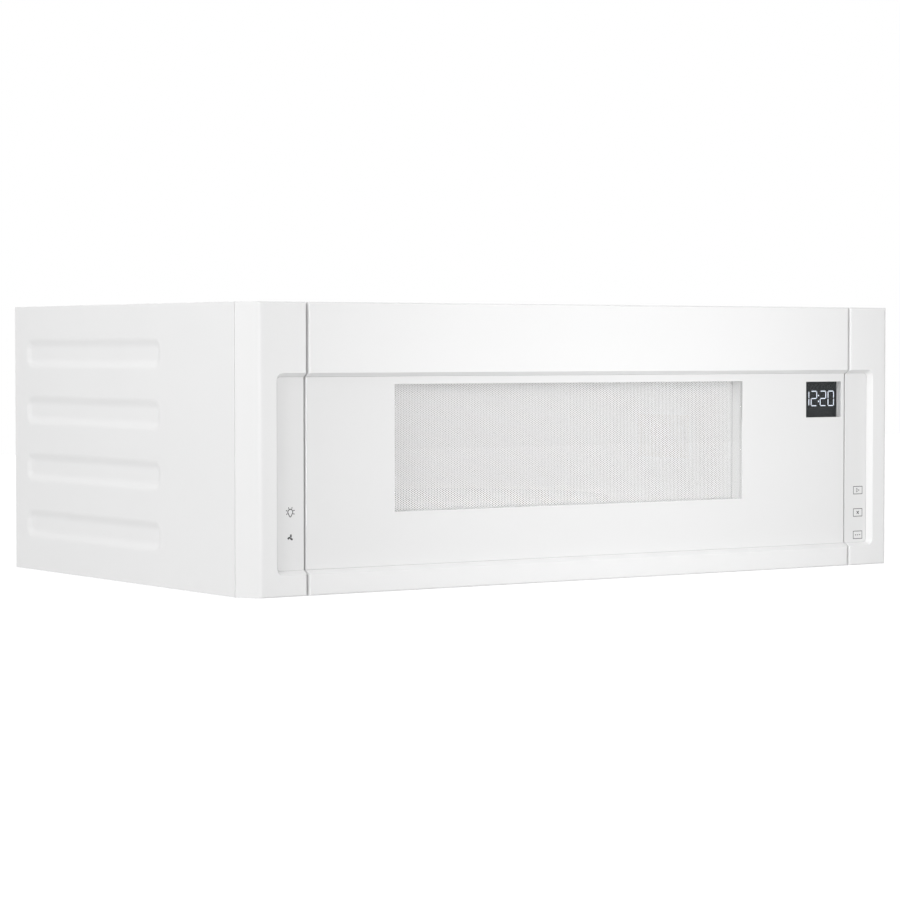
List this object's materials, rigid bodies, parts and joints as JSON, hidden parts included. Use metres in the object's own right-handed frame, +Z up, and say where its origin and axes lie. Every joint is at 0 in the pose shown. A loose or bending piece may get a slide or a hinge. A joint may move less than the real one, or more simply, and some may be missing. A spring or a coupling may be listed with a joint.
{
  "type": "over the range microwave",
  "caption": "Low profile white microwave oven for hanging over a range: full-height drop-down glass door, ribbed sides, turntable, grease filters and cooktop lamps below.",
  "frame": {"origin": "under the middle of the case, at the height of its underside", "axes": "+X to the right seen from the front, +Y towards the wall, +Z up"},
  "size_m": [0.76, 0.46, 0.26],
  "materials": {
    "white_paint": "white powder coat with a fine texture",
    "white_plastic": "moulded white, satin gloss",
    "white_glass": "clear glass over white print, with a clear window and display opening",
    "touch_film": "white film with small grey printed marks",
    "zinc_steel": "zinc-plated steel sheet",
    "enamel": "light grey enamel",
    "screen_steel": "white-painted perforated steel",
    "clear_plastic": "clear polymer",
    "choke_plastic": "light grey moulding",
    "display_black": "smoked black window",
    "mica": "pressed mica sheet",
    "aluminium": "bare aluminium",
    "laminations": "varnished steel laminations",
    "copper": "enamelled copper winding",
    "board_green": "glass-fibre board",
    "black_plastic": "black moulding",
    "nylon": "natural nylon",
    "tray_glass": "clear pressed glass",
    "lamp_glass": "lamp glass in a metal holder"
  },
  "bodies": {
    "case": {"left_side_panel": "white_paint", "right_side_panel": "white_paint", "left_front_strip": "white_plastic", "right_front_strip": "white_plastic", "left_touch_panel": "touch_film", "right_touch_panel": "touch_film", "top_panel": "zinc_steel", "back_panel": "zinc_steel", "base_pan": "white_paint", "front_plate": "enamel", "cable_bush": "black_plastic", "cavity_left_wall": "enamel", "cavity_right_wall": "enamel", "cavity_ceiling": "enamel", "cavity_floor": "enamel", "cavity_back_wall": "enamel", "waveguide_cover": "mica", "waveguide": "zinc_steel", "magnetron": "aluminium", "transformer_core": "laminations", "transformer_winding": "copper", "capacitor": "aluminium", "control_board": "board_green", "cavity_lamp": "lamp_glass", "left_latch_bracket": "black_plastic", "right_latch_bracket": "black_plastic", "door_switch": "black_plastic", "cooling_fan_shroud": "nylon", "cooling_fan_motor": "laminations", "turntable_motor": "zinc_steel", "exhaust_motor": "laminations", "left_blower_housing": "zinc_steel", "right_blower_housing": "zinc_steel", "left_cooktop_lamp": "aluminium", "right_cooktop_lamp": "aluminium"},
    "door": {"door_frame": "white_plastic", "door_glass": "white_glass", "display_module": "display_black", "door_screen": "screen_steel", "door_inner_panel": "zinc_steel", "choke_cover": "choke_plastic", "door_inner_window": "clear_plastic", "latch_bar": "nylon", "left_hinge_arm": "zinc_steel", "right_hinge_arm": "zinc_steel"},
    "turntable": {"glass_tray": "tray_glass", "turntable_coupler": "nylon"},
    "roller_ring": {"roller_ring": "nylon"},
    "roller_wheel_1": {"roller_1": "nylon"},
    "roller_wheel_2": {"roller_2": "nylon"},
    "roller_wheel_3": {"roller_3": "nylon"},
    "blower_rotor": {"blower_shaft": "zinc_steel", "left_blower_wheel": "black_plastic", "right_blower_wheel": "black_plastic"},
    "cooling_fan": {"cooling_fan_blade": "black_plastic"},
    "left_lens": {"left_cooktop_lens": "clear_plastic"},
    "right_lens": {"right_cooktop_lens": "clear_plastic"},
    "left_filter": {"left_grease_filter": "aluminium"},
    "right_filter": {"right_grease_filter": "aluminium"},
    "plunger": {"switch_plunger": "nylon"}
  },
  "joints": [
    {"name": "door_hinge", "type": "hinge", "parent": "case", "child": "door", "pos_m": [0, -0.218, 0.007], "axis": [1, 0, 0], "range_deg": [0, 90]},
    {"name": "turntable_turn", "type": "hinge", "parent": "case", "child": "turntable", "pos_m": [-0.0182, -0.01835, 0.06], "axis": [0, 0, 1], "continuous": true},
    {"name": "roller_ring_turn", "type": "hinge", "parent": "case", "child": "roller_ring", "pos_m": [-0.0182, -0.01835, 0.0513], "axis": [0, 0, 1], "continuous": true},
    {"name": "roller_1_roll", "type": "hinge", "parent": "roller_ring", "child": "roller_wheel_1", "pos_m": [-0.0182, 0.0853, 0.0513], "axis": [0, 1, 0], "continuous": true},
    {"name": "roller_2_roll", "type": "hinge", "parent": "roller_ring", "child": "roller_wheel_2", "pos_m": [-0.10796, -0.07018, 0.0513], "axis": [-0.866, -0.5, 0], "continuous": true},
    {"name": "roller_3_roll", "type": "hinge", "parent": "roller_ring", "child": "roller_wheel_3", "pos_m": [0.07156, -0.07018, 0.0513], "axis": [0.866, -0.5, 0], "continuous": true},
    {"name": "blower_turn", "type": "hinge", "parent": "case", "child": "blower_rotor", "pos_m": [0, 0.1872, 0.1952], "axis": [1, 0, 0], "continuous": true},
    {"name": "cooling_fan_turn", "type": "hinge", "parent": "case", "child": "cooling_fan", "pos_m": [0.3117, 0.06, 0.127], "axis": [0, 1, 0], "continuous": true},
    {"name": "left_lens_hinge", "type": "hinge", "parent": "case", "child": "left_lens", "pos_m": [-0.165, -0.1272, 0.0025], "axis": [1, 0, 0], "range_deg": [0, 90]},
    {"name": "right_lens_hinge", "type": "hinge", "parent": "case", "child": "right_lens", "pos_m": [0.165, -0.1272, 0.0025], "axis": [1, 0, 0], "range_deg": [0, 90]},
    {"name": "left_filter_slide", "type": "slide", "parent": "case", "child": "left_filter", "axis": [0, 1, 0], "range_m": [0, 0.012]},
    {"name": "right_filter_slide", "type": "slide", "parent": "case", "child": "right_filter", "axis": [0, 1, 0], "range_m": [0, 0.012]},
    {"name": "switch_plunger_press", "type": "slide", "parent": "case", "child": "plunger", "axis": [0, 1, 0], "range_m": [0, 0.003], "stiffness_N_per_m": 250}
  ],
  "couplings": [
    {"joint": "roller_ring_turn", "follows": "turntable_turn", "ratio": 0.5},
    {"joint": "roller_1_roll", "follows": "turntable_turn", "ratio": -7.4036},
    {"joint": "roller_2_roll", "follows": "turntable_turn", "ratio": -7.4036},
    {"joint": "roller_3_roll", "follows": "turntable_turn", "ratio": -7.4036}
  ]
}
